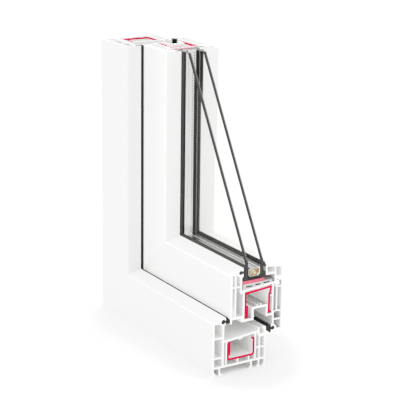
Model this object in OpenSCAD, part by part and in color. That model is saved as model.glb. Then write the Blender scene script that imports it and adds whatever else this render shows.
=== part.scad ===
// Corner sample of a plastic window: a fixed frame and a sash, cut through to show their chambers.
// Every section is drawn in two directions: depth, from the outdoor face towards the room, and
// rise, from the window's outer edge towards the glass. The sill runs along X, the jamb along Z.

/* [Sample] */
// Length of the sill from the outer corner to its cut end
sill_length = 253; // [220:1:400]
// Length of the jamb from the outer corner to its cut end
jamb_length = 334.5; // [260:0.5:500]
// Distance from the jamb's outer edge at which the slanted cut of the panes starts, at the top
pane_cut_top = 130; // [124:1:160]
// Height of the slanted cut of the panes at the end of the sill
pane_cut_end = 124.5; // [124:0.5:150]

/* [Frame profile] */
// Depth of the frame from the outdoor face to the room face
frame_depth = 70; // [66:1:90]
// Height of the frame's flat outdoor face above the floor
frame_face = 61.2; // [58:0.2:66]
// Depth of the sloped lip above the outdoor face
lip_depth = 17; // [15.6:0.1:17.5]
// Height gained over the sloped lip
lip_rise = 5; // [4.5:0.1:6.5]
// Height of the feet under the base wall
foot_height = 7.8; // [6:0.2:9]
// Thickness of the frame's outer walls
frame_wall = 2.6; // [2.2:0.1:2.8]
// Thickness of the webs between chambers
web = 1.8; // [1.4:0.1:2]
// Height of the rebate floor where it leaves the upstand
rebate_height = 39; // [38.5:0.1:40.4]

/* [Sash profile] */
// Distance of the sash's outdoor face behind that of the frame
sash_set_back = 22.3; // [21.8:0.1:23.2]
// Height of the underside of the sash's main chamber
sash_base = 56.6; // [55:0.2:57.4]
// Height of the sash's flat outdoor face above its base
sash_face = 55.4; // [54.6:0.2:58]
// Gap between the frame's room face and the sash's overlap leg
overlap_gap = 7; // [6.5:0.1:7.4]
// Depth of the overlap leg
leg_depth = 15.3; // [14.6:0.1:18]

/* [Glazing] */
// Thickness of each pane
pane = 4; // [3:0.5:4.5]
// Clear gap between the panes
pane_gap = 16; // [14:0.5:16.5]
// Height of the panes' lower edge above the sash's base
pane_seat = 47; // [46.8:0.1:47.6]
// Height of the spacer bar
spacer_height = 9.3; // [7:0.1:10]
// Length of the packers and of the bridges under them
packer_length = 100; // [60:5:110]

/* [Steel] */
// Thickness of the steel channels
steel = 2.2; // [1.5:0.1:2.4]
// Distance between the corner and the square end of each steel channel
steel_start = 104; // [100:1:120]

/* [Hidden] */
$fn = 48;

// Colours
white_plastic = [0.96, 0.96, 0.95];
red_steel = [0.86, 0.10, 0.28];
dark_rubber = [0.18, 0.18, 0.18];
clear_glass = [0.85, 0.92, 0.90, 0.4];
bare_aluminium = [0.80, 0.80, 0.79];
tan_grains = [0.78, 0.64, 0.40];
pink_plastic = [0.94, 0.43, 0.55];
grey_plastic = [0.84, 0.84, 0.82];

// Fits and edges that several pieces share
slack = 0.1;
rebate_angle = 5;
slope = tan(rebate_angle);
edge = 1.2;
tick = 0.6;
shoulder_radius = 4;
reach = 1;
nib = 1.4;

// Frame: base wall and the hooked feet under it
base_wall = 2.2;
base_top = foot_height + base_wall;
foot_wall = 2;
foot_hook = 1.9;
hook_tip = 1.2;
hook_top = 2.6;
face_hook = 2.6;
face_hook_tip = 0.8;
face_hook_top = 4.4;
front_foot = 8.6;
middle_foot = 17.6;
back_foot = 7.6;

// Frame: walls between the chambers, counted from the outdoor face and from the room face
front_chamber_end = 12.4;
upstand = front_chamber_end + frame_wall;
drain_chamber = 2.4;
second_wall = upstand + drain_chamber;
steel_wall = 1.6;
steel_side = second_wall + steel_wall;
room_chambers = 14.6;
steel_far_side = frame_depth - room_chambers;
fourth_wall = steel_far_side + web;
last_chamber = 7.2;
fifth_chamber = frame_depth - last_chamber;
right_wall = frame_depth - web;

// Frame: heights of the webs, of the lip and of the lobe that holds its gasket
lip_height = frame_face + lip_rise;
lip_roof = 1.4;
lobe_height = 8.4;
lobe_bottom = lip_height - lobe_height;
low_web_rise = 13.2;
low_web = foot_height + low_web_rise;
web_spacing = 23;
high_web = low_web + web_spacing;
room_web_rise = 14.2;
room_web = foot_height + room_web_rise;
floor_thickness = 2.2;

// Frame: nose on the room side, open at the top, and the screw ridges below it
nose_depth = 10.7;
nose = frame_depth - nose_depth;
nose_rise = 7.3;
nose_height = rebate_height + nose_rise;
nose_sink = 0.6;
nose_floor = rebate_height - nose_sink;
nose_wall = 2.4;
nose_back_wall = 2.6;
nose_hook = 2.4;
nose_hook_tip = 1.8;
nose_hook_root = 2.8;
ridge_start = 5;
ridge_step = 4;
ridge_end = 3;
ridge_depth = 2.6;
ridge_drop = 1;
ridge_root = 2;

// Frame: round groove in the lip that holds the gasket
frame_groove_inset = 3.2;
frame_groove_drop = 4.8;
frame_groove = [lip_depth - frame_groove_inset, lip_height - frame_groove_drop];
frame_groove_radius = 2.6;
frame_mouth = 1.3;
groove_wall = 1.8;

// Frame steel channel, with the ribs that carry it and those that hold it down
steel_rest = 5;
frame_steel_foot = base_top + steel_rest;
steel_headroom = 0.1;
frame_steel_top = frame_ceiling(steel_side) - steel_headroom;
steel_play = 0.2;
frame_steel_end = steel_far_side - steel_play;
hem_rise = 6;
hem_bottom = frame_steel_foot + hem_rise;
steel_lip = 4.6;
steel_bend = 1.5;
first_rest = 14.4;
second_rest = 29;
first_nib = 16.4;
second_nib = 19;
nib_drop = 2;

// Frame gasket: flag between the lip and the sash, with two toes
flag_gap = 0.2;
flag_neck = 0.4;
frame_flag_drop = 0.8;
frame_flag_foot = lip_height - lobe_height - flag_neck;
frame_toe = 1.8;
frame_toe_rise = 0.8;
frame_notch = 2.2;
frame_notch_depth = 3;
frame_contact = 4;

// Sash: outline, counted from its outdoor face and from its room face
sash_front = sash_set_back;
leg = frame_depth + overlap_gap;
sash_back = leg + leg_depth;
total_depth = sash_back;
tip_rise = 0.4;
sash_tip = sash_base + tip_rise;
sill_rise = 4.8;
sash_sill = sash_base + sill_rise;
sash_bevel = sash_base + sash_face;
sash_lip_depth = 16.3;
sash_lip = sash_front + sash_lip_depth;
sash_lip_rise = 7.6;
sash_lip_height = sash_bevel + sash_lip_rise;
sash_lobe_height = 10.4;
sash_lobe_bottom = sash_lip_height - sash_lobe_height;
sash_lobe_depth = 1.6;
rebate_wall = sash_lip - sash_lobe_depth;
rebate_rise = 36.6;
rebate_foot = sash_base + rebate_rise;

// Sash: walls between the chambers on the outdoor side
sash_front_wall = sash_front + frame_wall;
sash_first_chamber = 3.1;
sash_second_wall = 1.9;
sash_second = sash_front_wall + sash_first_chamber;
sash_second_end = sash_second + sash_second_wall;
sash_third_depth = 12.4;
sash_third = sash_front + sash_third_depth;
sash_steel_depth = 18.5;
sash_steel_side = sash_front + sash_steel_depth;
sash_steel_wall = 2.2;
sash_chamber_wall = sash_steel_side - sash_steel_wall;
keel_depth = 1.8;
keel = sash_chamber_wall - keel_depth;
keel_slope = 1;
chamber_floor = 2.6;
sash_web_rise = 40.9;
sash_web = sash_base + sash_web_rise;
sash_web_thickness = 1.5;
shelf_drop = 2.8;
shelf_fall = 0.8;
lobe_relief = 0.8;
lobe_cut = 1.6;
lobe_cut_drop = 2.8;

// Sash: groove for the fittings, open towards the frame
fitting_inset = 7.6;
fitting_far_side = leg - fitting_inset;
fitting_width = 16.4;
fitting_side = fitting_far_side - fitting_width;
fitting_height = 12.8;
fitting_top = sash_base + fitting_height;
fitting_wall = 2.4;
fitting_far_wall = 2;
fitting_chamfer = 1.6;
fitting_ridge = 1.6;
fitting_ridge_foot = 3.2;
fitting_ridge_tip = 4;
fitting_ridge_top = 4.6;
leg_root = 1.2;
first_fitting_nib = 5;
second_fitting_nib = 9.4;
fitting_nib_rise = 2.4;
first_roof_nib = 4.4;
second_roof_nib = 7;
roof_nib_drop = 1.2;
side_nib = 2.6;
side_nib_rise = 24;

// Sash: overlap leg and the chambers on the room side
leg_step = 1.2;
leg_wall = leg + leg_step;
leg_overlap = 7.7;
leg_end = nose_height - leg_overlap;
leg_floor = 2.4;
leg_web_drop = 5.5;
leg_web = sash_base - leg_web_drop;
leg_head = 4.4;
back_wall_thickness = 2.9;
back_wall = sash_back - back_wall_thickness;
back_chamber = 5.1;
split_wall = 1.6;
split_end = back_wall - back_chamber;
split = split_end - split_wall;
chamber_reach = 0.4;
chamber_end = leg + chamber_reach;
room_chamber = chamber_end + web;
roof_rise = 3.6;
roof_low = sash_base + roof_rise;
roof_climb = 1.4;
roof_high = roof_low + roof_climb;
roof_web = 1.5;

// Sash: slot that the bead clips in
clip_width = 7.8;
clip_side = back_wall - clip_width;
clip_wall = 1.2;
clip_rise = 34.6;
clip_floor = sash_base + clip_rise;
clip_height = 6.2;
clip_back = clip_floor + clip_height;
clip_pocket = 3.4;
ledge_depth = 2;
ledge = sash_floor(clip_side - ledge_depth);

// Sash: round grooves for the glazing gasket and for the overlap gasket
glazing_groove_inset = 3.4;
glazing_groove_drop = 5.5;
glazing_groove = [sash_lip - glazing_groove_inset, sash_lip_height - glazing_groove_drop];
glazing_groove_radius = 2.3;
glazing_mouth = 1.5;
overlap_groove_inset = 2.2;
overlap_groove_rise = 3.6;
overlap_groove = [leg + overlap_groove_inset, leg_end + overlap_groove_rise];
overlap_groove_radius = 2.4;
overlap_mouth = 1.3;
overlap_groove_wall = 2.3;
overlap_lobe_side = 0.8;
overlap_lobe_top = 5.2;

// Sash steel channel
sash_steel_rise = 3.8;
sash_steel_foot = sash_base + sash_steel_rise;
sash_steel_headroom = 1.2;
sash_steel_top = sash_ceiling(sash_steel_side) - sash_steel_headroom;
sash_steel_climb = 2.4;
sash_steel_gap = 3;
sash_steel_end = chamber_end - sash_steel_gap;
sash_hem = 2.6;
sash_hem_height = 13.6;
sash_hem_slope = 1.4;
kink_rise = 22;
kink_lean = 2.2;
kink_foot = 0.4;
steel_toe = 1.6;
steel_toe_rise = 1.2;
steel_toe_height = 1.4;

// Overlap gasket: bulb pressed on the frame's room face, with a long toe
overlap_flag_drop = 3;
overlap_shoulder = 2;
overlap_crown = 4.4;
overlap_crown_depth = 2;
overlap_nose = 1.4;
overlap_nose_rise = 3.6;
overlap_contact = 1;
overlap_toe = 5.4;
overlap_toe_depth = 1;

// Glazing: depth of each layer and heights
glazing_gasket = 1.9;
outer_pane_depth = sash_lip + glazing_gasket;
cavity = outer_pane_depth + pane;
inner_pane_depth = cavity + pane_gap;
inner_pane_back = inner_pane_depth + pane;
pane_foot = sash_base + pane_seat;
sealant_cover = 4.1;
spacer_foot = pane_foot + sealant_cover;
spacer_top = spacer_foot + spacer_height;
spacer_wall = 0.8;
spacer_chamfer = 2;
butyl = 0.5;
butyl_drop = 1;
sealant_inset = 0.6;
sealant_foot = pane_foot + sealant_inset;

// Glazing gasket: flag on the outer pane, with a heel in the rebate
glazing_flag_rise = 2.8;
glazing_flag_top = sash_lip_height + glazing_flag_rise;
glazing_flag_drop = 4.4;
glazing_flag_foot = sash_lobe_bottom - glazing_flag_drop;
glazing_flag_tip = 1.2;
glazing_tip_fall = 0.4;
glazing_heel = 0.5;
glazing_heel_taper = 0.3;
glazing_heel_height = 2;

// Bead: clips in the sash behind the inner pane
bead_gasket = 3.7;
bead_front = inner_pane_back + bead_gasket;
bead_inset = 1;
bead_back = sash_back - bead_inset;
bead_rise = 2.4;
bead_foot = pane_foot + bead_rise;
bead_height = 11.6;
bead_front_top = bead_foot + bead_height;
bead_fall = 3;
bead_back_top = bead_front_top - bead_fall;
bead_skin = 2;
bead_back_skin = 2.6;
bead_wall_inset = 1.4;
bead_wall_thickness = 1.8;
bead_wall = clip_side - bead_wall_inset;
bead_wall_end = bead_wall + bead_wall_thickness;
bead_base_rise = 9.2;
bead_base = clip_floor + bead_base_rise;
bead_play = 0.2;
bead_leg = clip_side + bead_play;
bead_leg_depth = 4.4;
bead_leg_end = bead_leg + bead_leg_depth;
bead_leg_gap = 0.8;
bead_leg_foot = clip_floor + bead_leg_gap;
bead_barb = 0.8;
bead_barb_rise = 1.8;
bead_barb_height = 3.2;
bead_eye = 0.9;
bead_eye_depth = 2.4;

// Packer under the panes and the slotted bridge under it
packer_thickness = 3.8;
bridge_top = pane_foot - packer_thickness;
packer_inset = 0.4;
packer_overhang = 1.6;
packer_start = rebate_wall + packer_inset;
packer_end = inner_pane_back + packer_overhang;
bridge_inset = 1.8;
bridge_overhang = 10.9;
bridge_gap = 3.2;
bridge_start = rebate_wall + bridge_inset;
bridge_end = min(packer_end + bridge_overhang, bead_wall - bridge_gap);
slot_margin = 3.2;
slot_length = 9;
slot_rib = 3.3;
slot_height = 1.8;
slot_drop = 0.3;

// Bead gasket: lip on the inner pane, hollow on the bead's side
bead_lip_rise = 4.8;
bead_lip_tip = 0.8;
bead_lip_fall = 0.2;
bead_lip_drop = 0.8;
bead_lip_foot = 3;
bead_lip_heel = 1.2;
hollow_wall = 0.85;
hollow_foot = 5;
hollow_drop = 1.8;
hollow_radius = 0.9;

// Height of the frame's sloped rebate floor at a given depth, and of the ceiling below it
function frame_floor(depth) = rebate_height + (depth - upstand) * slope;
function frame_ceiling(depth) = frame_floor(depth) - floor_thickness;

// Height of the sash's sloped glazing rebate floor at a given depth, and of the ceiling below it
function sash_floor(depth) = rebate_foot + (depth - rebate_wall) * slope;
function sash_ceiling(depth) = sash_floor(depth) - floor_thickness;

// Points of a rounded corner: arc about a centre from one angle to another
function arc(centre, radius, from, to, steps = 5) = [
    for (i = [0 : steps])
        let (angle = from + (to - from) * i / steps)
        centre + radius * [cos(angle), sin(angle)]
];

// Points of the rounded shoulder where an upright face turns into a sloped lip
function shoulder(depth, height, bevel) =
    arc(
        [depth + shoulder_radius, height - shoulder_radius * tan((90 - bevel) / 2)],
        shoulder_radius, 180, 90 + bevel, 8
    );

// Points of the end of a sloped lip, with its arris taken off
function lip_end(depth, height) = [[depth - tick, height], [depth, height - tick]];

// Points of a foot under the frame's base wall, from its room side, hooked towards outdoors
function foot(from, to) = [
    [to, foot_height], [to, 0], [from - foot_hook, 0],
    [from - foot_hook, hook_tip], [from, hook_top], [from, foot_height]
];

// Points of a foot that is hooked towards the room
function far_foot(from, to) = [
    [to, foot_height], [to, hook_top], [to + foot_hook, hook_tip],
    [to + foot_hook, 0], [from, 0], [from, foot_height]
];

// Points of the spacer bar's outline, or of its hollow when set in by the thickness of its wall
function spacer_points(inset) = let (
    left = cavity + butyl + inset,
    right = inner_pane_depth - butyl - inset,
    low = spacer_foot + inset,
    high = spacer_top - inset,
    cut = spacer_chamfer - inset * (2 - sqrt(2))
) [
    [left + cut, low], [right - cut, low], [right, low + cut],
    [right, high], [left, high], [left, low + cut]
];

// Rectangle between two corners
module block(from, to) {
    translate(from)
        square(to - from);
}

// Rib across a chamber, centred on a depth, between two heights
module rib(depth, from, to) {
    block([depth - nib / 2, from], [depth + nib / 2, to]);
}

// Rectangle with round corners between two corners
module round_block(from, to, radius) {
    block(from + [radius, 0], to - [radius, 0]);
    block(from + [0, radius], to - [0, radius]);
    for (depth = [from.x + radius, to.x - radius], height = [from.y + radius, to.y - radius])
        translate([depth, height])
            circle(radius);
}

// Slot with round ends between two depths, centred on a height
module slot(from, to, height, radius) {
    block([from + radius, height - radius], [to - radius, height + radius]);
    for (depth = [from + radius, to - radius])
        translate([depth, height])
            circle(radius);
}

// Round groove with an open mouth on one side: +1 towards the room, -1 towards outdoors
module groove(centre, radius, mouth, side) {
    depth = 3 * radius * side;
    translate(centre) {
        circle(radius);
        block([min(0, depth), -mouth], [max(0, depth), mouth]);
    }
}

// Bulb of a gasket in its groove, with the neck that comes out of the mouth
module gasket_root(centre, radius, mouth, neck) {
    translate(centre) {
        circle(radius - slack);
        block([min(0, neck), -mouth], [max(0, neck), mouth]);
    }
}

// Outline of the frame and its feet, without its chambers
module frame_outline() {
    bevel = atan(lip_rise / (lip_depth - tick));
    polygon(concat(
        [[frame_wall, foot_height], [frame_wall, face_hook_top], [frame_wall + face_hook, face_hook_tip]],
        [[frame_wall + face_hook, 0], [0, 0]],
        shoulder(0, frame_face, bevel),
        lip_end(lip_depth, lip_height),
        [[lip_depth, lobe_bottom], [upstand, lobe_bottom - edge]],
        [[upstand, frame_floor(upstand)], [nose, frame_floor(nose)], [nose, nose_height]],
        arc([frame_depth - edge, nose_height - edge], edge, 90, 0),
        foot(right_wall, frame_depth),
        foot(frame_depth - back_foot - foot_wall, frame_depth - back_foot),
        foot(frame_depth - middle_foot - foot_wall, frame_depth - middle_foot),
        far_foot(front_foot, front_foot + foot_wall)
    ));
}

// Chambers of the frame between its outdoor face and its steel
module frame_front_chambers() {
    ceiling = frame_face - lip_roof;
    block([frame_wall, base_top], [front_chamber_end, low_web - web]);
    block([frame_wall, low_web], [front_chamber_end, high_web - web]);
    polygon([
        [frame_wall, high_web], [front_chamber_end, high_web], [front_chamber_end, lobe_bottom - edge],
        [frame_groove.x - frame_groove_radius - groove_wall, ceiling], [frame_wall, ceiling]
    ]);
    block([upstand, base_top], [second_wall, rebate_height - web]);
}

// Steel chamber of the frame, with two ribs under the channel and two above it
module frame_steel_chamber() {
    difference() {
        polygon([
            [steel_side, base_top], [steel_far_side, base_top],
            [steel_far_side, frame_ceiling(steel_far_side)], [steel_side, frame_ceiling(steel_side)]
        ]);
        for (depth = [steel_side + first_rest, steel_side + second_rest])
            rib(depth, base_top - reach, frame_steel_foot);
        for (depth = [steel_side + first_nib, steel_side + second_nib])
            rib(depth, frame_ceiling(depth) - nib_drop, frame_floor(depth));
    }
}

// Chambers of the frame between its steel and the room, and the slot in its nose
module frame_room_chambers() {
    room_web_top = room_web + web;
    ridges_top = nose_floor - 2 * web;
    slot_start = nose + nose_wall;
    slot_end = frame_depth - nose_back_wall;
    block([fourth_wall, base_top], [fifth_chamber - web, room_web]);
    block([fourth_wall, room_web_top], [nose, frame_ceiling(fourth_wall)]);
    block([nose, room_web_top], [fifth_chamber - web, nose_floor - web]);
    block([fifth_chamber, base_top], [right_wall, room_web]);
    difference() {
        block([fifth_chamber, room_web_top], [right_wall, ridges_top]);
        for (height = [room_web + ridge_start : ridge_step : ridges_top - ridge_end])
            polygon([
                [right_wall + reach, height], [right_wall - ridge_depth, height - ridge_drop],
                [right_wall + reach, height + ridge_root]
            ]);
    }
    polygon([
        [slot_start, nose_floor], [slot_end, nose_floor], [slot_end, nose_height - nose_hook_root],
        [slot_end - nose_hook, nose_height - nose_hook_tip], [slot_end - nose_hook, nose_height + reach],
        [slot_start, nose_height + reach]
    ]);
}

// Whole section of the frame
module frame_section() {
    difference() {
        frame_outline();
        frame_front_chambers();
        frame_steel_chamber();
        frame_room_chambers();
        groove(frame_groove, frame_groove_radius, frame_mouth, 1);
    }
}

// Steel channel of the frame: flange folded double on the outdoor side, lipped flange on the room side
module frame_steel_section() {
    inner = steel_side + steel;
    fold = inner + steel;
    far = frame_steel_end - steel;
    difference() {
        round_block([steel_side, frame_steel_foot], [frame_steel_end, frame_steel_top], steel_bend + steel);
        round_block([inner, frame_steel_foot + steel], [far, hem_bottom], steel_bend);
        round_block([fold, hem_bottom - 2 * steel_bend - slack], [far, frame_steel_top - steel], steel_bend);
        block([fold, hem_bottom], [frame_steel_end - steel_lip, frame_steel_top + reach]);
    }
}

// Gasket in the frame's lip, pressed on the sash's outdoor face
module frame_gasket_section() {
    toe_height = frame_flag_foot + frame_toe_rise;
    gasket_root(frame_groove, frame_groove_radius, frame_mouth, frame_groove_inset + flag_neck);
    polygon([
        [lip_depth + flag_gap, toe_height], [lip_depth + frame_toe, frame_flag_foot],
        [sash_front - frame_notch_depth, frame_flag_foot + frame_notch],
        [sash_front - frame_toe, toe_height], [sash_front, toe_height],
        [sash_front, lip_height - frame_contact], [lip_depth + flag_gap, lip_height - frame_flag_drop]
    ]);
}

// Outline of the sash without its chambers
module sash_outline() {
    bevel = atan(sash_lip_rise / (sash_lip_depth - tick));
    polygon(concat(
        [[sash_front, sash_tip]],
        shoulder(sash_front, sash_bevel, bevel),
        lip_end(sash_lip, sash_lip_height),
        [[sash_lip, sash_lobe_bottom], [rebate_wall, sash_lobe_bottom - edge]],
        [[rebate_wall, rebate_foot], [clip_side - ledge_depth, ledge]],
        [[clip_side, ledge], [clip_side, clip_floor], [back_wall, clip_floor]],
        [[back_wall, clip_back], [sash_back, clip_back]],
        arc([sash_back - edge, leg_end + edge], edge, 0, -90),
        [[leg, leg_end], [leg, overlap_groove.y + leg_head]],
        [[leg_wall, overlap_groove.y + leg_head + leg_step]],
        [[leg_wall, sash_base + leg_root], [fitting_far_side, sash_base + leg_root]],
        [[fitting_far_side, fitting_top], [fitting_side + edge, fitting_top]],
        arc([fitting_side + edge, fitting_top - edge], edge, 90, 180),
        [[fitting_side, sash_base + fitting_ridge_top]],
        [[fitting_side + fitting_ridge, sash_base + fitting_ridge_tip]],
        [[fitting_side, sash_base + fitting_ridge_foot]],
        [[fitting_side, sash_base], [keel, sash_base]],
        [[keel - keel_slope, sash_sill], [sash_front_wall, sash_sill], [sash_front_wall, sash_tip]]
    ));
}

// Chambers of the sash between its outdoor face and its steel
module sash_front_chambers() {
    sill_top = sash_sill + chamber_floor;
    web_top = sash_web + sash_web_thickness;
    block([sash_front_wall, sill_top], [sash_second, sash_web]);
    block([sash_front_wall, web_top], [sash_second, sash_bevel]);
    polygon([
        [sash_second_end, sill_top], [sash_chamber_wall, sill_top],
        [sash_chamber_wall, rebate_foot - shelf_drop - shelf_fall], [sash_third, rebate_foot - shelf_drop],
        [sash_third, sash_web], [sash_second_end, sash_web]
    ]);
    polygon([
        [sash_second_end, web_top], [sash_third, web_top], [sash_third, sash_lobe_bottom - lobe_relief],
        [sash_second_end + lobe_cut, glazing_groove.y - lobe_cut_drop],
        [sash_second_end, glazing_groove.y - lobe_cut]
    ]);
}

// Steel chamber of the sash, over the fitting groove, with ribs that hold the channel
module sash_steel_chamber() {
    near_wall = fitting_side - fitting_wall;
    groove_roof = fitting_top + fitting_wall;
    far_wall = fitting_far_side + fitting_far_wall;
    far_floor = sash_base + leg_root + fitting_wall;
    difference() {
        polygon([
            [sash_steel_side, sash_base + chamber_floor], [near_wall, sash_base + chamber_floor],
            [near_wall, groove_roof - fitting_chamfer], [near_wall + fitting_chamfer, groove_roof],
            [far_wall, groove_roof], [far_wall, far_floor], [chamber_end, far_floor],
            [chamber_end, sash_ceiling(chamber_end)], [sash_steel_side, sash_ceiling(sash_steel_side)]
        ]);
        for (depth = [fitting_side + first_fitting_nib, fitting_side + second_fitting_nib])
            rib(depth, fitting_top, groove_roof + fitting_nib_rise);
        for (depth = [fitting_side + first_roof_nib, fitting_side + second_roof_nib])
            rib(depth, sash_ceiling(depth) - roof_nib_drop, sash_floor(depth));
        block(
            [chamber_end - side_nib, sash_base + side_nib_rise],
            [chamber_end + reach, sash_base + side_nib_rise + nib]
        );
    }
}

// Chambers of the sash on the room side and in its overlap leg
module sash_room_chambers() {
    leg_inner = leg_wall + web;
    clip_under = clip_floor - web;
    lobe_end = overlap_groove.x + overlap_groove_radius + overlap_groove_wall;
    polygon([
        [room_chamber, roof_low + roof_web], [split, roof_high + roof_web], [split, clip_under],
        [clip_side - clip_wall, clip_floor], [clip_side - clip_wall, clip_floor + clip_pocket],
        [room_chamber, clip_floor + clip_pocket]
    ]);
    polygon([
        [split_end, roof_high + roof_web], [back_wall, roof_low + roof_web],
        [back_wall, clip_under], [split_end, clip_under]
    ]);
    polygon([
        [leg_inner, leg_web + web], [back_wall, leg_web + web], [back_wall, roof_low],
        [split_end, roof_high], [split, roof_high], [leg_inner, roof_low]
    ]);
    polygon([
        [lobe_end, leg_end + leg_floor], [back_wall, leg_end + leg_floor], [back_wall, leg_web],
        [leg_inner, leg_web], [leg_inner, overlap_groove.y + overlap_lobe_top],
        [lobe_end, overlap_groove.y + overlap_lobe_side]
    ]);
}

// Whole section of the sash
module sash_section() {
    difference() {
        sash_outline();
        sash_front_chambers();
        sash_steel_chamber();
        sash_room_chambers();
        groove(glazing_groove, glazing_groove_radius, glazing_mouth, 1);
        groove(overlap_groove, overlap_groove_radius, overlap_mouth, -1);
    }
}

// Steel channel of the sash: hemmed outdoor flange, sloped top, kinked room flange with a toe
module sash_steel_section() {
    outer = sash_steel_side;
    inner = outer + steel;
    far = sash_steel_end;
    near = far - steel;
    corner = sash_steel_top + sash_steel_climb;
    kink = sash_steel_foot + kink_rise;
    hem = sash_steel_foot + sash_hem_height;
    toe = sash_steel_foot + steel_toe_rise;
    polygon([
        [outer, sash_steel_foot], [outer, sash_steel_top],
        [far + kink_foot, corner], [far + kink_lean, corner - edge],
        [far, kink], [far, toe + steel_toe_height + tick],
        [far + steel_toe, toe + steel_toe_height], [far + steel_toe, toe],
        [near, toe], [near, kink + kink_foot], [near + kink_lean, corner - steel],
        [inner, sash_steel_top - steel], [inner, hem + sash_hem_slope],
        [inner + sash_hem, hem], [inner + sash_hem, sash_steel_foot]
    ]);
}

// Gasket in the sash's overlap leg, pressed on the frame's room face
module overlap_gasket_section() {
    height = overlap_groove.y;
    gasket_root(overlap_groove, overlap_groove_radius, overlap_mouth, -overlap_groove_inset - flag_neck);
    polygon([
        [leg - flag_gap, height - overlap_flag_drop], [leg - flag_gap, height + overlap_shoulder],
        [leg - overlap_crown_depth, height + overlap_crown],
        [frame_depth + overlap_nose, height + overlap_nose_rise],
        [frame_depth, height + overlap_shoulder], [frame_depth, height - overlap_contact],
        [leg - overlap_toe_depth, height - overlap_toe]
    ]);
}

// Gasket between the sash's lip and the outer pane
module glazing_gasket_section() {
    heel = rebate_wall + glazing_heel;
    gasket_root(glazing_groove, glazing_groove_radius, glazing_mouth, glazing_groove_inset + flag_neck);
    polygon([
        [sash_lip + flag_gap, sash_lobe_bottom - tick], [heel, glazing_flag_foot + glazing_heel_height],
        [heel + glazing_heel_taper, glazing_flag_foot], [outer_pane_depth, glazing_flag_foot],
        [outer_pane_depth, glazing_flag_top],
        [outer_pane_depth - glazing_flag_tip, glazing_flag_top - glazing_tip_fall],
        [sash_lip + flag_gap, sash_lip_height + flag_gap]
    ]);
}

// Outline of the glazing bead with the leg that clips in the sash
module bead_outline() {
    polygon([
        [bead_front, bead_foot], [bead_front, bead_front_top - tick], [bead_front + tick, bead_front_top],
        [bead_back - edge, bead_back_top], [bead_back, bead_back_top - edge], [bead_back, clip_back],
        [bead_leg_end, clip_back], [bead_leg_end, bead_leg_foot + bead_barb_height],
        [bead_leg_end + bead_barb, bead_leg_foot + bead_barb_rise], [bead_leg_end, bead_leg_foot],
        [bead_leg, bead_leg_foot], [bead_leg, ledge], [bead_wall, ledge], [bead_wall, bead_foot]
    ]);
}

// Hollow glazing bead
module bead_section() {
    fall = bead_fall / (bead_back - bead_front);
    roof = bead_front_top - bead_skin;
    difference() {
        bead_outline();
        polygon([
            [bead_front + bead_skin, bead_foot + bead_skin], [bead_wall, bead_foot + bead_skin],
            [bead_wall, roof - fall * (bead_wall - bead_front)],
            [bead_front + bead_skin, roof - fall * bead_skin]
        ]);
        polygon([
            [bead_wall_end, bead_base + bead_skin], [bead_back - bead_back_skin, bead_base + bead_skin],
            [bead_back - bead_back_skin, bead_back_top - bead_skin],
            [bead_wall_end, roof - fall * (bead_wall_end - bead_front)]
        ]);
        translate([bead_leg + bead_eye_depth, clip_back + bead_eye])
            circle(bead_eye);
    }
}

// Soft lip between the bead and the inner pane, hollow on the bead's side
module bead_gasket_section() {
    difference() {
        polygon([
            [bead_front, bead_foot + bead_lip_drop / 2],
            [inner_pane_back + bead_lip_heel, bead_foot + bead_lip_drop],
            [inner_pane_back, bead_foot + bead_lip_foot], [inner_pane_back, bead_front_top + bead_lip_rise],
            [inner_pane_back + bead_lip_tip, bead_front_top + bead_lip_rise - bead_lip_fall],
            [bead_front, bead_front_top - bead_lip_drop]
        ]);
        round_block(
            [inner_pane_back + hollow_wall, bead_foot + hollow_foot],
            [bead_front + hollow_radius, bead_front_top - hollow_drop], hollow_radius
        );
    }
}

// Hollow spacer bar between the panes, its corners cut off towards the pane edge
module spacer_section() {
    difference() {
        polygon(spacer_points(0));
        desiccant_section();
    }
}

// Drying grains that fill the spacer bar
module desiccant_section() {
    polygon(spacer_points(spacer_wall));
}

// Sealant behind the spacer bar and along its sides
module sealant_section() {
    difference() {
        block([cavity, sealant_foot], [inner_pane_depth, spacer_top - butyl_drop]);
        polygon(spacer_points(0));
    }
}

// Packer under the panes
module packer_section() {
    block([packer_start, bridge_top], [packer_end, pane_foot]);
}

// Bridge that levels the sloped rebate floor, with three long slots
module bridge_section() {
    first_end = bridge_start + slot_margin + slot_length;
    last_start = bridge_end - slot_margin - slot_length;
    slots = [
        [bridge_start + slot_margin, first_end],
        [first_end + slot_rib, last_start - slot_rib],
        [last_start, bridge_end - slot_margin]
    ];
    difference() {
        polygon([
            [bridge_start, sash_floor(bridge_start)], [bridge_end, sash_floor(bridge_end)],
            [bridge_end, bridge_top], [bridge_start, bridge_top]
        ]);
        for (ends = slots) {
            floor_height = sash_floor((ends.x + ends.y) / 2);
            slot(ends.x, ends.y, (floor_height + bridge_top) / 2 - slot_drop, slot_height / 2);
        }
    }
}

// Places the sample with its footprint centred over the origin
module placed() {
    translate([-sill_length / 2, -total_depth / 2, 0])
        children();
}

// Runs a section along the sill between two distances from the corner
module along_sill(from, to) {
    translate([from, 0, 0])
        rotate([90, 0, 90])
            linear_extrude(to - from)
                children();
}

// Runs a section along the sill from the mitred corner
module mitred(length) {
    corner = max(glazing_flag_top, bead_front_top + bead_lip_rise) + reach;
    difference() {
        along_sill(0, length)
            children();
        translate([0, total_depth + reach, 0])
            rotate([90, 0, 0])
                linear_extrude(total_depth + 2 * reach)
                    polygon([[-reach, -reach], [corner, corner], [-reach, corner]]);
    }
}

// Turns a sill run into a jamb run
module upright() {
    mirror([1, 0, -1])
        children();
}

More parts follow.
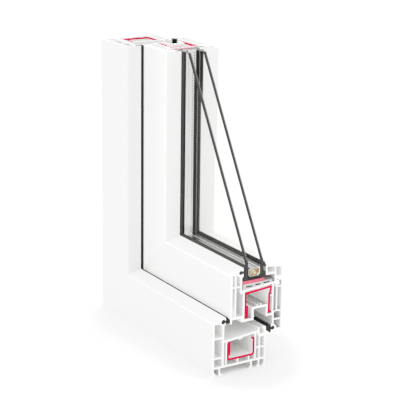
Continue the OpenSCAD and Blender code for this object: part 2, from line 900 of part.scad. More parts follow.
// Pane between two depths, cut on a slant from the jamb's top to the sill's end
module pane_plate(depth) {
    translate([0, depth + pane, 0])
        rotate([90, 0, 0])
            linear_extrude(pane)
                polygon([
                    [pane_foot, pane_foot], [sill_length, pane_foot], [sill_length, pane_cut_end],
                    [pane_cut_top, jamb_length], [pane_foot, jamb_length]
                ]);
}

module frame_sill() {
    color(white_plastic)
        placed()
            mitred(sill_length)
                frame_section();
}

module frame_jamb() {
    color(white_plastic)
        placed()
            upright()
                mitred(jamb_length)
                    frame_section();
}

module frame_steel_sill() {
    color(red_steel)
        placed()
            along_sill(steel_start, sill_length)
                frame_steel_section();
}

module frame_steel_jamb() {
    color(red_steel)
        placed()
            upright()
                along_sill(steel_start, jamb_length)
                    frame_steel_section();
}

module frame_gasket_sill() {
    color(dark_rubber)
        placed()
            mitred(sill_length)
                frame_gasket_section();
}

module frame_gasket_jamb() {
    color(dark_rubber)
        placed()
            upright()
                mitred(jamb_length)
                    frame_gasket_section();
}

module sash_rail() {
    color(white_plastic)
        placed()
            mitred(sill_length)
                sash_section();
}

module sash_stile() {
    color(white_plastic)
        placed()
            upright()
                mitred(jamb_length)
                    sash_section();
}

module sash_steel_rail() {
    color(red_steel)
        placed()
            along_sill(steel_start, sill_length)
                sash_steel_section();
}

module sash_steel_stile() {
    color(red_steel)
        placed()
            upright()
                along_sill(steel_start, jamb_length)
                    sash_steel_section();
}

module overlap_gasket_rail() {
    color(dark_rubber)
        placed()
            mitred(sill_length)
                overlap_gasket_section();
}

module overlap_gasket_stile() {
    color(dark_rubber)
        placed()
            upright()
                mitred(jamb_length)
                    overlap_gasket_section();
}

module glazing_gasket_rail() {
    color(dark_rubber)
        placed()
            mitred(sill_length)
                glazing_gasket_section();
}

module glazing_gasket_stile() {
    color(dark_rubber)
        placed()
            upright()
                mitred(jamb_length)
                    glazing_gasket_section();
}

module bead_rail() {
    color(white_plastic)
        placed()
            mitred(sill_length)
                bead_section();
}

module bead_stile() {
    color(white_plastic)
        placed()
            upright()
                mitred(jamb_length)
                    bead_section();
}

module bead_gasket_rail() {
    color(dark_rubber)
        placed()
            mitred(sill_length)
                bead_gasket_section();
}

module bead_gasket_stile() {
    color(dark_rubber)
        placed()
            upright()
                mitred(jamb_length)
                    bead_gasket_section();
}

module outer_pane() {
    color(clear_glass)
        placed()
            pane_plate(outer_pane_depth);
}

module inner_pane() {
    color(clear_glass)
        placed()
            pane_plate(inner_pane_depth);
}

module spacer_rail() {
    color(bare_aluminium)
        placed()
            mitred(sill_length)
                spacer_section();
}

module spacer_stile() {
    color(bare_aluminium)
        placed()
            upright()
                mitred(jamb_length)
                    spacer_section();
}

module desiccant_rail() {
    color(tan_grains)
        placed()
            mitred(sill_length)
                desiccant_section();
}

module desiccant_stile() {
    color(tan_grains)
        placed()
            upright()
                mitred(jamb_length)
                    desiccant_section();
}

module edge_sealant() {
    color(dark_rubber)
        placed() {
            mitred(sill_length)
                sealant_section();
            upright()
                mitred(jamb_length)
                    sealant_section();
        }
}

module packer_rail() {
    color(pink_plastic)
        placed()
            along_sill(sill_length - packer_length, sill_length)
                packer_section();
}

module packer_stile() {
    color(pink_plastic)
        placed()
            upright()
                along_sill(jamb_length - packer_length, jamb_length)
                    packer_section();
}

module bridge_rail() {
    color(grey_plastic)
        placed()
            along_sill(sill_length - packer_length, sill_length)
                bridge_section();
}

module bridge_stile() {
    color(grey_plastic)
        placed()
            upright()
                along_sill(jamb_length - packer_length, jamb_length)
                    bridge_section();
}

frame_sill();
frame_jamb();
frame_steel_sill();
frame_steel_jamb();
frame_gasket_sill();
frame_gasket_jamb();
sash_rail();
sash_stile();
sash_steel_rail();
sash_steel_stile();
overlap_gasket_rail();
overlap_gasket_stile();
glazing_gasket_rail();
glazing_gasket_stile();
bead_rail();
bead_stile();
bead_gasket_rail();
bead_gasket_stile();
outer_pane();
inner_pane();
spacer_rail();
spacer_stile();
desiccant_rail();
desiccant_stile();
edge_sealant();
packer_rail();
packer_stile();
bridge_rail();
bridge_stile();
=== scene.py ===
import math
import random

import bmesh
import bpy
from mathutils import Matrix, Vector
from mathutils.geometry import tessellate_polygon


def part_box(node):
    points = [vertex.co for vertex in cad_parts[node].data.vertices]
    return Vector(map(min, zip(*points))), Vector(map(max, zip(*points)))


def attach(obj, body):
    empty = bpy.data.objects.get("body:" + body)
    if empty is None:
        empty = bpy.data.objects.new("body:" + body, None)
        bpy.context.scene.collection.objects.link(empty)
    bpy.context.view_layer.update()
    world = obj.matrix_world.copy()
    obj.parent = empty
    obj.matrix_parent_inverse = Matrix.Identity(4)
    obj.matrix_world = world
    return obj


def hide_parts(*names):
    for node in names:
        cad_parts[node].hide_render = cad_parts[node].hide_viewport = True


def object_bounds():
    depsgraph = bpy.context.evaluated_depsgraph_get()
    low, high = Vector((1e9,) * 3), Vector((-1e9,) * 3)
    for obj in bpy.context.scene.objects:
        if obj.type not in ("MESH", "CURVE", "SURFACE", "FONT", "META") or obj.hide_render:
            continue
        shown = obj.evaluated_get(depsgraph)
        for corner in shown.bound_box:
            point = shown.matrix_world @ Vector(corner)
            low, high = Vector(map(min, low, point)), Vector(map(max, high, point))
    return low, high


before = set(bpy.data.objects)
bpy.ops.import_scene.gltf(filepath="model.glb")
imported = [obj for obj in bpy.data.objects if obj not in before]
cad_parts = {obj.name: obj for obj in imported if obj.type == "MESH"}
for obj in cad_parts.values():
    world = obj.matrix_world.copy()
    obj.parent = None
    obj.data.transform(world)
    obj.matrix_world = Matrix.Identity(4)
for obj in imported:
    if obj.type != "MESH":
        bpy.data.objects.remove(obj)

cad_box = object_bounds()

# Frame lengths: two hollow lengths of white window plastic, pushed through a die, mitred and welded
# at the corner. The skin is smooth with faint die lines along the length, the far ends are sawn, and
# a thin line is left where the weld was dressed flat.
corner_x, outdoor_y = cad_box[0][0], cad_box[0][1]
cut_x, cut_z = cad_box[1][0], cad_box[1][2]
sill_length, jamb_length = cut_x - corner_x, cut_z
level = {"along": "X", "across": "Z", "start": 0.0, "cut": cut_x, "saw_marks": (100, 2200, 160)}
upright = {"along": "Z", "across": "X", "start": corner_x, "cut": cut_z, "saw_marks": (2200, 160, 100)}
# depths behind a length's outdoor face
front_wall_end, steel_chamber_start, room_wall_start = 0.0026, 0.0175, 0.0670
# The top of the frame's chambers, the top of its feet, and the painted shadow tone among the feet.
frame_chambers_top, feet_top, feet_shadow_tone = 0.0365, 0.0066, (0.64, 0.64, 0.635)
sawn_skin, sawn_dark, sawn_light = 0.0001, (0.94, 0.94, 0.935), (0.965, 0.965, 0.96)
weld_edge, weld_shade, weld_tone = (0.00005, 0.0004), 0.25, (0.55, 0.55, 0.54)
# Facing ranges of the lips and of the painted highlight on the rounded shoulders; emission colours of the
# plastic's painted light on its skin, at its painted highlights and on its sawn ends; the strength of the
# shoulders' painted highlight and the reach of the painted light beside the gasket.
lip_facing, shoulder_start, shoulder_stop = (0.85, 0.94), (0.2, 0.5), (0.55, 0.85)
skin_painted_light, highlight_painted_light, sawn_painted_light = (0.25, 0.25, 0.245), (5.0, 5.0, 4.95), (1.0, 1.0, 0.99)
shoulder_highlight, valley_reach = 0.08, 0.016


def finish(name, **values):
    """A new material and its shader, with the values that are the same all over set on its sockets."""
    material = bpy.data.materials.new(name)
    material.use_nodes = True
    shader = material.node_tree.nodes["Principled BSDF"]
    for socket, value in values.items():
        shader.inputs[socket.replace("_", " ")].default_value = value
    return material, shader


def put(material, socket, value):
    """Feeds a socket with another node's output, or sets it."""
    if isinstance(value, bpy.types.NodeSocket):
        material.node_tree.links.new(value, socket)
    else:
        socket.default_value = value


def node(material, kind, feeds=None, **settings):
    """A new shader node, fed by name; gives its outputs."""
    made = material.node_tree.nodes.new("ShaderNode" + kind)
    for setting, value in settings.items():
        setattr(made, setting, value)
    for socket, value in (feeds or {}).items():
        put(material, made.inputs[socket], value)
    return made.outputs


def sums(material, operation, first, second=0.0):
    """One step of arithmetic between two values."""
    return node(material, "Math", {0: first, 1: second}, operation=operation)["Value"]


def between(material, factor, first, second):
    """Mixes two colours, or two plain values, by a factor."""
    plain = not (isinstance(first, tuple) or getattr(first, "type", "VALUE") == "RGBA")
    sockets = {0: factor, 2: first, 3: second} if plain else {0: factor, 6: first, 7: second}
    if not plain:
        sockets = {key: (*value, 1.0) if isinstance(value, tuple) else value for key, value in sockets.items()}
    return node(material, "Mix", sockets, data_type="FLOAT" if plain else "RGBA")[0 if plain else 2]


def grey(tone, blue=1.0):
    """A grey, with its blue a little up or down."""
    return (tone, tone, tone * blue)


def grain(material, place, stretch, detail=3.0, roughness=0.5):
    """Soft noise, with its own scale along each axis, in spots per metre."""
    spots = node(material, "Mapping", {"Vector": place, "Scale": stretch})["Vector"]
    return node(material, "TexNoise", {"Vector": spots, "Scale": 1.0, "Detail": detail,
                                       "Roughness": roughness})["Fac"]


def lines_along(run, along, across):
    """Noise scales that draw long lines down a length."""
    return (along, across, across) if run is level else (across, across, along)


def spread(material, value, low, high, start=0.3, stop=0.7):
    """Spreads a value evenly between two others."""
    return node(material, "MapRange", {"Value": value, "From Min": start, "From Max": stop,
                                       "To Min": low, "To Max": high})["Result"]


def relief(material, shader, height, depth):
    """Raises the surface by a height, in metres."""
    bump = node(material, "Bump", {"Height": height, "Distance": depth, "Strength": 1.0})
    put(material, shader.inputs["Normal"], bump["Normal"])


def dress(material, *names):
    """Gives CAD nodes their finish."""
    for name in names:
        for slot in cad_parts[name].material_slots:
            slot.material = material


def white_plastic(name, run, front, chambers_top, skin, shaded_lip, chamber_shade, steel_chamber_shade, chamber_floor_shade,
                  valley=0.0, valley_painted_light=0.0):
    """The plastic of one length: its tone outside, painted shade on its lips, in its chambers and among its feet,
    and a faint painted light from its emission, stronger as a painted highlight along its rounded shoulders, as
    painted light on the sash face beside the gasket and on the sawn ends.
    """
    # A faint emission all over: painted light that lifts the chambers.
    material, shader = finish(name, IOR=1.53, Emission_Strength=0.12)
    place = node(material, "TexCoord")["Object"]
    axes = node(material, "SeparateXYZ", {"Vector": place})
    depth = axes["Y"]
    rise = sums(material, "SUBTRACT", axes[run["across"]], run["start"])
    normal = node(material, "NewGeometry")["Normal"]
    facing = node(material, "SeparateXYZ", {"Vector": normal})[run["across"]]
    sawn = sums(material, "GREATER_THAN", axes[run["along"]], run["cut"] - sawn_skin)
    mitre = sums(material, "SUBTRACT", sums(material, "SUBTRACT", axes["X"], corner_x), axes["Z"])
    weld = spread(material, sums(material, "ABSOLUTE", mitre), 1.0, 0.0, *weld_edge)
    lines = grain(material, place, lines_along(run, 9, 900), 4.0)
    cloud = grain(material, place, (26, 26, 26))
    teeth = grain(material, place, run["saw_marks"], 2.0)

    outside = between(material, spread(material, cloud, 0.0, 1.0), grey(skin, 0.994),
                      (skin + 0.012, skin + 0.012, skin * 1.008))
    # The lips take their own tone, darker on the upright lengths: painted shade on the side that gets less light.
    outside = between(material, spread(material, facing, 0.0, 1.0, *lip_facing), outside, grey(shaded_lip, 0.994))
    # Inside the chambers the faces take darker tones, darkest on the upward faces of the deeper chambers: painted
    # shade in the hollows.
    behind = sums(material, "GREATER_THAN", depth, front + front_wall_end)
    before = sums(material, "LESS_THAN", depth, front + room_wall_start)
    below = sums(material, "LESS_THAN", rise, chambers_top)
    hollow = sums(material, "MULTIPLY", sums(material, "MULTIPLY", behind, before), below)
    upwards = sums(material, "GREATER_THAN", facing, lip_facing[0])
    walls = between(material, upwards, grey(steel_chamber_shade), grey(chamber_floor_shade))
    deep = sums(material, "GREATER_THAN", depth, front + steel_chamber_start)
    walls = between(material, deep, grey(chamber_shade), walls)
    # Low among the feet the faces are painted darker still: painted shadow where the length stands on the floor.
    walls = between(material, sums(material, "LESS_THAN", axes["Z"], feet_top), walls, feet_shadow_tone)
    colour = between(material, hollow, outside, walls)
    colour = between(material, sawn, colour, between(material, teeth, sawn_dark, sawn_light))
    colour = between(material, sums(material, "MULTIPLY", weld, weld_shade), colour, weld_tone)
    put(material, shader.inputs["Base Color"], colour)

    # Emission colour: a painted highlight along the rounded shoulders, painted light on the sash face beside the
    # gasket, faint painted light elsewhere and strong painted light on the sawn ends.
    painted_shoulder = sums(material, "MULTIPLY", spread(material, facing, 0.0, shoulder_highlight, *shoulder_start),
                    spread(material, facing, 1.0, 0.0, *shoulder_stop))
    painted_bounce = spread(material, rise, valley_painted_light, 0.0, valley, valley + valley_reach)
    painted_lit = sums(material, "MAXIMUM", painted_shoulder, sums(material, "POWER", painted_bounce, 2.0))
    outdoors = sums(material, "LESS_THAN", depth, front + front_wall_end)
    painted_glow = between(material, sums(material, "MULTIPLY", painted_lit, outdoors), skin_painted_light, highlight_painted_light)
    put(material, shader.inputs["Emission Color"], between(material, sawn, painted_glow, sawn_painted_light))
    put(material, shader.inputs["Roughness"],
        between(material, sawn, spread(material, lines, 0.30, 0.36), spread(material, teeth, 0.5, 0.7)))
    height = between(material, sawn, sums(material, "MULTIPLY", lines, 0.05), teeth)
    relief(material, shader, sums(material, "SUBTRACT", height, weld), 0.00006)
    return material


# The frame copies: the jamb's lips and the chambers of both are painted darker: painted shade.
sill_plastic = white_plastic("white_plastic_sill", level, outdoor_y, frame_chambers_top, skin=0.866, shaded_lip=0.866,
                             chamber_shade=0.82, steel_chamber_shade=0.82, chamber_floor_shade=0.74)
jamb_plastic = white_plastic("white_plastic_jamb", upright, outdoor_y, frame_chambers_top, skin=0.866, shaded_lip=0.800,
                             chamber_shade=0.866, steel_chamber_shade=0.866, chamber_floor_shade=0.80)
dress(sill_plastic, "frame_sill")
dress(jamb_plastic, "frame_jamb")

# Frame steel: channels folded from galvanised strip, slid into the frame's largest chamber to stiffen
# it. The zinc is a dull spangled grey, and only the sawn ends carry a coat of crimson paint.
paint_dark, paint_light = (0.64, 0.008, 0.060), (0.73, 0.013, 0.085)
paint_ragged, paint_run_down = 0.0006, 0.0012


def galvanised_steel(name, dull, bright, painted_glow):
    material, shader = finish(name, IOR=1.5, Specular_IOR_Level=0.12, Emission_Strength=painted_glow)
    place = node(material, "TexCoord")["Object"]
    axes = node(material, "SeparateXYZ", {"Vector": place})
    ragged = sums(material, "MULTIPLY", grain(material, place, (900, 900, 900)), paint_ragged)
    past_x = sums(material, "GREATER_THAN", sums(material, "ADD", axes["X"], ragged), cut_x)
    past_z = sums(material, "GREATER_THAN", sums(material, "ADD", axes["Z"], ragged), cut_z - paint_run_down)
    painted = sums(material, "MAXIMUM", past_x, past_z)
    flakes = node(material, "TexVoronoi", {"Vector": place, "Scale": 190.0})["Color"]
    flake = node(material, "SeparateColor", {"Color": flakes})["Red"]
    rolled = grain(material, place, (700, 700, 700), 4.0)
    zinc = between(material, flake, grey(dull, 0.985), grey(bright, 0.985))
    paint = between(material, spread(material, rolled, 0.0, 1.0), paint_dark, paint_light)
    put(material, shader.inputs["Base Color"], between(material, painted, zinc, paint))
    # Emission colour: white on the zinc, a faint painted light, and none on the paint.
    put(material, shader.inputs["Emission Color"], between(material, painted, grey(1.0, 0.985), grey(0.0)))
    put(material, shader.inputs["Metallic"], between(material, painted, 0.15, 0.0))
    zinc_rough, paint_rough = spread(material, flake, 0.34, 0.52, 0.0, 1.0), 0.42
    put(material, shader.inputs["Roughness"], between(material, painted, zinc_rough, paint_rough))
    relief(material, shader, rolled, 0.00004)
    return material


frame_steel = galvanised_steel("red_steel_frame", dull=0.90, bright=0.97, painted_glow=0.0)
dress(frame_steel, "frame_steel_sill", "frame_steel_jamb")

# Frame gasket: a black rubber bulb pressed into the groove of the frame's lip, with a flag that the sash
# shuts on. It is extruded, dull, and its crown stands a little proud of the lip.
bulb_depth, bulb_rise, bulb_size, neck = 0.0138, 0.0614, 0.0025, 0.0013
flag_near, flag_far = 0.0172, 0.0223


def black_rubber(name, run, dark, light, gloss):
    material, shader = finish(name, IOR=1.5, Specular_IOR_Level=gloss)
    place = node(material, "TexCoord")["Object"]
    lines = grain(material, place, lines_along(run, 12, 1500), 4.0)
    bloom = grain(material, place, (240, 240, 240), 5.0, 0.65)
    colour = between(material, spread(material, bloom, 0.0, 1.0), (dark, dark * 0.97, dark * 0.93),
                     (light, light * 0.97, light * 0.93))
    put(material, shader.inputs["Base Color"], colour)
    put(material, shader.inputs["Roughness"], spread(material, lines, 0.38, 0.58))
    relief(material, shader, sums(material, "ADD", lines, sums(material, "MULTIPLY", bloom, 0.5)), 0.00005)
    return material


def on_rail(along, depth, rise):
    """A place on the level lengths, from the corner, the outdoor face and the floor."""
    return Vector((corner_x + along, outdoor_y + depth, rise))


def on_stile(along, depth, rise):
    """The same place on the upright lengths."""
    return Vector((corner_x + rise, outdoor_y + depth, along))


def piece_of(name, mesh, materials, stands_for):
    """Turns a built mesh into a piece that rides on the part."""
    bmesh.ops.recalc_face_normals(mesh, faces=mesh.faces)
    data = bpy.data.meshes.new(name)
    mesh.to_mesh(data)
    mesh.free()
    piece = bpy.data.objects.new(name, data)
    bpy.context.scene.collection.objects.link(piece)
    for material in materials:
        data.materials.append(material)
    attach(piece, "root")
    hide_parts(stands_for)


def rubber_strip(name, stands_for, place, length, outlines, material):
    """Rubber outlines, each a row of depths and rises, pushed from the mitre to the sawn end."""
    mesh = bmesh.new()
    for outline in outlines:
        mitred = [mesh.verts.new(place(rise, depth, rise)) for depth, rise in outline]
        sawn = [mesh.verts.new(place(length, depth, rise)) for depth, rise in outline]
        mesh.faces.new(mitred)
        mesh.faces.new(sawn)
        for k in range(len(outline)):
            j = (k + 1) % len(outline)
            mesh.faces.new([mitred[k], mitred[j], sawn[j], sawn[k]])
    piece_of(name, mesh, [material], stands_for)


sill_rubber = black_rubber("gasket_rubber_sill", level, dark=0.024, light=0.042, gloss=0.45)
# The upright copy is darker and duller than the sill's: painted shade on the frame gasket and overlap gasket of
# the upright lengths.
shaded_jamb_rubber = black_rubber("shaded_gasket_rubber_jamb", upright, dark=0.010, light=0.020, gloss=0.2)
neck_turn = math.asin(neck / bulb_size)
flag = [(bulb_depth + bulb_size * math.cos(turn), bulb_rise + bulb_size * math.sin(turn))
        for turn in (neck_turn + (2 * math.pi - 2 * neck_turn) * n / 24 for n in range(25))]
flag += [(flag_near, 0.0601), (flag_near, 0.0582), (0.0188, 0.0574), (0.0193, 0.0596), (0.0205, 0.0582),
         (flag_far, 0.0582), (flag_far, 0.0624), (0.0187, 0.0663), (0.0179, 0.0667), (flag_near, 0.0665),
         (flag_near, 0.0627)]
rubber_strip("crowned_gasket_sill", "frame_gasket_sill", on_rail, sill_length, (flag,), sill_rubber)
rubber_strip("crowned_gasket_jamb", "frame_gasket_jamb", on_stile, jamb_length, (flag,), shaded_jamb_rubber)

# Sash lengths: the opening leaf's bottom rail and side stile, hollow and welded like the frame, with
# their own folded steel, a rubber bulb on the lip that lies over the frame and a rubber flag on the glass.
sash_face = outdoor_y + flag_far
sash_chambers_top, gasket_line = 0.1015, 0.0640
# The rail and stile copies are painted lighter than the frame's, the stile lightest, with painted light on the
# sash face beside the gasket: painted light on the recessed sash.
rail_plastic = white_plastic("white_plastic_rail", level, sash_face, sash_chambers_top, skin=0.900, shaded_lip=0.890,
                             chamber_shade=0.82, steel_chamber_shade=0.70, chamber_floor_shade=0.34,
                             valley=gasket_line, valley_painted_light=0.84)
stile_plastic = white_plastic("white_plastic_stile", upright, sash_face, sash_chambers_top, skin=0.930, shaded_lip=0.830,
                              chamber_shade=0.93, steel_chamber_shade=0.93, chamber_floor_shade=0.83,
                              valley=gasket_line, valley_painted_light=1.0)
# The sash copy's zinc is painted lighter than the frame's and given faint emission: painted light inside the
# sash's steel.
sash_steel = galvanised_steel("red_steel_sash", dull=0.96, bright=0.99, painted_glow=0.065)
rail_rubber = black_rubber("gasket_rubber_rail", level, dark=0.050, light=0.072, gloss=0.45)
stile_rubber = black_rubber("gasket_rubber_stile", upright, dark=0.050, light=0.072, gloss=0.45)
dress(rail_plastic, "sash_rail")
dress(stile_plastic, "sash_stile")
dress(sash_steel, "sash_steel_rail", "sash_steel_stile")
dress(sill_rubber, "overlap_gasket_rail")
dress(shaded_jamb_rubber, "overlap_gasket_stile")
dress(rail_rubber, "glazing_gasket_rail")
dress(stile_rubber, "glazing_gasket_stile")

# Bridges and packers: slotted grey bridges lie in the glazing rebate, and pink packers on them carry the
# glass. Both are short lengths of moulded plastic, laid in loose.


def strip_plastic(name, dark, light, rough):
    material, shader = finish(name, IOR=1.49)
    place = node(material, "TexCoord")["Object"]
    cloud = grain(material, place, (180, 180, 180), 4.0, 0.6)
    fine = grain(material, place, (2600, 2600, 2600), 2.0)
    put(material, shader.inputs["Base Color"], between(material, spread(material, cloud, 0.0, 1.0), dark, light))
    put(material, shader.inputs["Roughness"], spread(material, fine, rough - 0.08, rough + 0.08))
    relief(material, shader, fine, 0.00004)
    return material


grey_strip = strip_plastic("grey_plastic_strip", (0.50, 0.50, 0.50), (0.60, 0.60, 0.595), 0.45)
pink_strip = strip_plastic("pink_plastic_strip", (0.68, 0.13, 0.185), (0.77, 0.165, 0.22), 0.42)
dress(grey_strip, "bridge_rail", "bridge_stile")
dress(pink_strip, "packer_rail", "packer_stile")

# Edge sealant: dark rubbery paste trowelled round the edge of the glass under the spacer bars. It sets
# with a dull, slightly lumpy skin.
paste_dark, paste_light = (0.022, 0.022, 0.023), (0.05, 0.05, 0.05)
paste, paste_shader = finish("edge_sealant", Roughness=0.72)
paste_lumps = grain(paste, node(paste, "TexCoord")["Object"], (420, 420, 420), 4.0, 0.6)
put(paste, paste_shader.inputs["Base Color"],
    between(paste, spread(paste, paste_lumps, 0.0, 1.0), paste_dark, paste_light))
relief(paste, paste_shader, paste_lumps, 0.0002)
dress(paste, "edge_sealant")

# Spacer bars: thin aluminium tube, rolled and seamed, that holds the two panes apart. The face towards
# the cavity has a seam, a row of fine slits that let the air reach the grains, and squeezed-out sealant.
bar_near, bar_far, bar_foot, bar_top = 0.0450, 0.0600, 0.1077, 0.1170
bar_wall, bar_chamfer, bar_round = 0.0008, 0.0020, 0.0004
inner_chamfer = bar_chamfer + 0.0003
slit_row, slit_land, slit_pitch, slit_margin = 0.0571, 0.0008, 0.0032, (0.002, 0.001)
slit_across, slit_along, slit_deep = 0.0014, 0.0014, 0.0006
seam_row, seam_half, seam_deep = 0.0518, 0.00025, 0.00035
smear_edge, dark_line_row, dark_line_edge = 0.0482, slit_row - 0.0009, (0.0005, 0.0009)
# How far the painted light on the stile's spacer reaches up from the corner.
corner_painted_light_reach = 0.075
# The two grey tones of the painted shade in the slits.
slit_shade, slit_shade_light = (0.24, 0.235, 0.23), (0.32, 0.315, 0.31)


def as_grey(material, value):
    """The same value for red, green and blue."""
    return node(material, "CombineColor", {"Red": value, "Green": value, "Blue": value})["Color"]


def mill_aluminium(name, run, near, far, near_metal, far_metal, dark_line, rough, corner_painted_light):
    """Bare metal with a tone on each side of the slits, a darker line beside them, and emission that fades up
    from the corner: painted light.
    """
    material, shader = finish(name, Emission_Strength=corner_painted_light)
    place = node(material, "TexCoord")["Object"]
    lines = grain(material, place, lines_along(run, 14, 1800), 4.0)
    cloud = grain(material, place, (60, 60, 60))
    axes = node(material, "SeparateXYZ", {"Vector": place})
    beyond = sums(material, "GREATER_THAN", axes["Y"], outdoor_y + slit_row - slit_across / 2)
    from_dark_line = sums(material, "ABSOLUTE", sums(material, "SUBTRACT", axes["Y"], outdoor_y + dark_line_row))
    tone = between(material, beyond, near, far)
    tone = sums(material, "MULTIPLY", tone, spread(material, from_dark_line, dark_line, 1.0, *dark_line_edge))
    tone = sums(material, "MULTIPLY", tone, spread(material, cloud, 0.96, 1.04))
    # Emission that fades up from the corner: painted light, used by the stile's copy only.
    painted_bounce = spread(material, axes["Z"], 1.0, 0.0, bar_top, bar_top + corner_painted_light_reach)
    put(material, shader.inputs["Base Color"], as_grey(material, tone))
    put(material, shader.inputs["Emission Color"], as_grey(material, sums(material, "POWER", painted_bounce, 2.0)))
    put(material, shader.inputs["Metallic"], between(material, beyond, near_metal, far_metal))
    put(material, shader.inputs["Roughness"], spread(material, lines, rough - 0.08, rough + 0.08))
    relief(material, shader, lines, 0.00003)
    return material


def spacer_bar(name, stands_for, place, length, material, far_smear):
    """A hollow bar, mitred at the corner, with sunk slits and smears of sealant along both its edges."""
    outline = [(bar_near + bar_chamfer, bar_foot), (bar_far - bar_chamfer, bar_foot),
               (bar_far, bar_foot + bar_chamfer), (bar_far, bar_top - bar_round),
               (bar_far - bar_round, bar_top), (bar_far - bar_round - far_smear, bar_top),
               (slit_row + slit_land, bar_top), (slit_row - slit_land, bar_top),
               (seam_row + seam_half, bar_top), (seam_row, bar_top - seam_deep), (seam_row - seam_half, bar_top),
               (smear_edge, bar_top), (bar_near + bar_round, bar_top),
               (bar_near, bar_top - bar_round), (bar_near, bar_foot + bar_chamfer)]
    smear_sides, slit_side = (4, 11), 6
    inside = [(bar_near + inner_chamfer, bar_foot + bar_wall), (bar_far - inner_chamfer, bar_foot + bar_wall),
              (bar_far - bar_wall, bar_foot + inner_chamfer), (bar_far - bar_wall, bar_top - bar_wall),
              (bar_near + bar_wall, bar_top - bar_wall), (bar_near + bar_wall, bar_foot + inner_chamfer)]
    metal, slit, sealant = range(3)
    first = bar_top + slit_margin[0]
    count = int((length - first - slit_margin[1]) / slit_pitch)
    stations = [None] + [first + slit_pitch * n for n in range(count + 1)] + [length]
    mesh = bmesh.new()

    def ring(points, along):
        return [mesh.verts.new(place(rise if along is None else along, depth, rise)) for depth, rise in points]

    rings = [ring(outline, along) for along in stations]
    for n in range(len(stations) - 1):
        for k in range(len(outline)):
            j = (k + 1) % len(outline)
            corners = [rings[n][k], rings[n][j], rings[n + 1][j], rings[n + 1][k]]
            if k != slit_side or n in (0, len(stations) - 2):
                mesh.faces.new(corners).material_index = sealant if k in smear_sides else metal
                continue
            middle = stations[n] + slit_pitch / 2
            rim = [(middle + side_a * slit_along / 2, slit_row + side_d * slit_across / 2)
                   for side_a, side_d in ((-1, 1), (-1, -1), (1, -1), (1, 1))]
            edge = [mesh.verts.new(place(a, d, bar_top)) for a, d in rim]
            sunk = [mesh.verts.new(place(a, d, bar_top - slit_deep)) for a, d in rim]
            for q in range(4):
                w = (q + 1) % 4
                mesh.faces.new([corners[q], corners[w], edge[w], edge[q]])
                mesh.faces.new([edge[q], edge[w], sunk[w], sunk[q]]).material_index = slit
            mesh.faces.new(sunk).material_index = slit
    hollow = [ring(inside, None), ring(inside, length)]
    for k in range(len(inside)):
        j = (k + 1) % len(inside)
        mesh.faces.new([hollow[0][j], hollow[0][k], hollow[1][k], hollow[1][j]])
    for outer, inner in ((rings[0], hollow[0]), (rings[-1], hollow[1])):
        loop = outer + inner
        for three in tessellate_polygon([[v.co for v in outer], [v.co for v in inner]]):
            mesh.faces.new([loop[i] for i in three])
    piece_of(name, mesh, [material, slit_painted_shade, paste], stands_for)


# The sunk faces of the slits are painted dark grey with a mottle: painted shade for the open slits.
slit_painted_shade, slit_shader = finish("slit_painted_shade", Roughness=0.8)
slit_mottle = grain(slit_painted_shade, node(slit_painted_shade, "TexCoord")["Object"], (900, 900, 900))
put(slit_painted_shade, slit_shader.inputs["Base Color"], between(slit_painted_shade, slit_mottle, slit_shade, slit_shade_light))
# The rail's copy is dark on the near side of the slits, painted shade beside the glazing gasket, and light beyond
# them; the stile's copy is even and takes painted light toward the corner.
rail_metal = mill_aluminium("bare_aluminium_rail", level, near=0.50, far=0.92, near_metal=1.0, far_metal=0.54,
                            dark_line=0.4, rough=0.36, corner_painted_light=0.0)
stile_metal = mill_aluminium("bare_aluminium_stile", upright, near=0.78, far=0.78, near_metal=0.5, far_metal=0.5,
                             dark_line=1.0, rough=0.38, corner_painted_light=0.28)
spacer_bar("spacer_bar_rail", "spacer_rail", on_rail, sill_length, rail_metal, far_smear=0.00005)
spacer_bar("spacer_bar_stile", "spacer_stile", on_stile, jamb_length, stile_metal, far_smear=0.0006)

# Drying grains: porous tan beads about a millimetre across, poured into the spacer bars, that keep the
# air between the panes dry. Behind the open ends they lie packed, so a core fills the bar there.
grain_size, grain_spread, row_step = 0.00125, (0.42, 0.54), 0.88
grain_dark, grain_light = (0.40, 0.24, 0.11), (1.0, 0.93, 0.80)


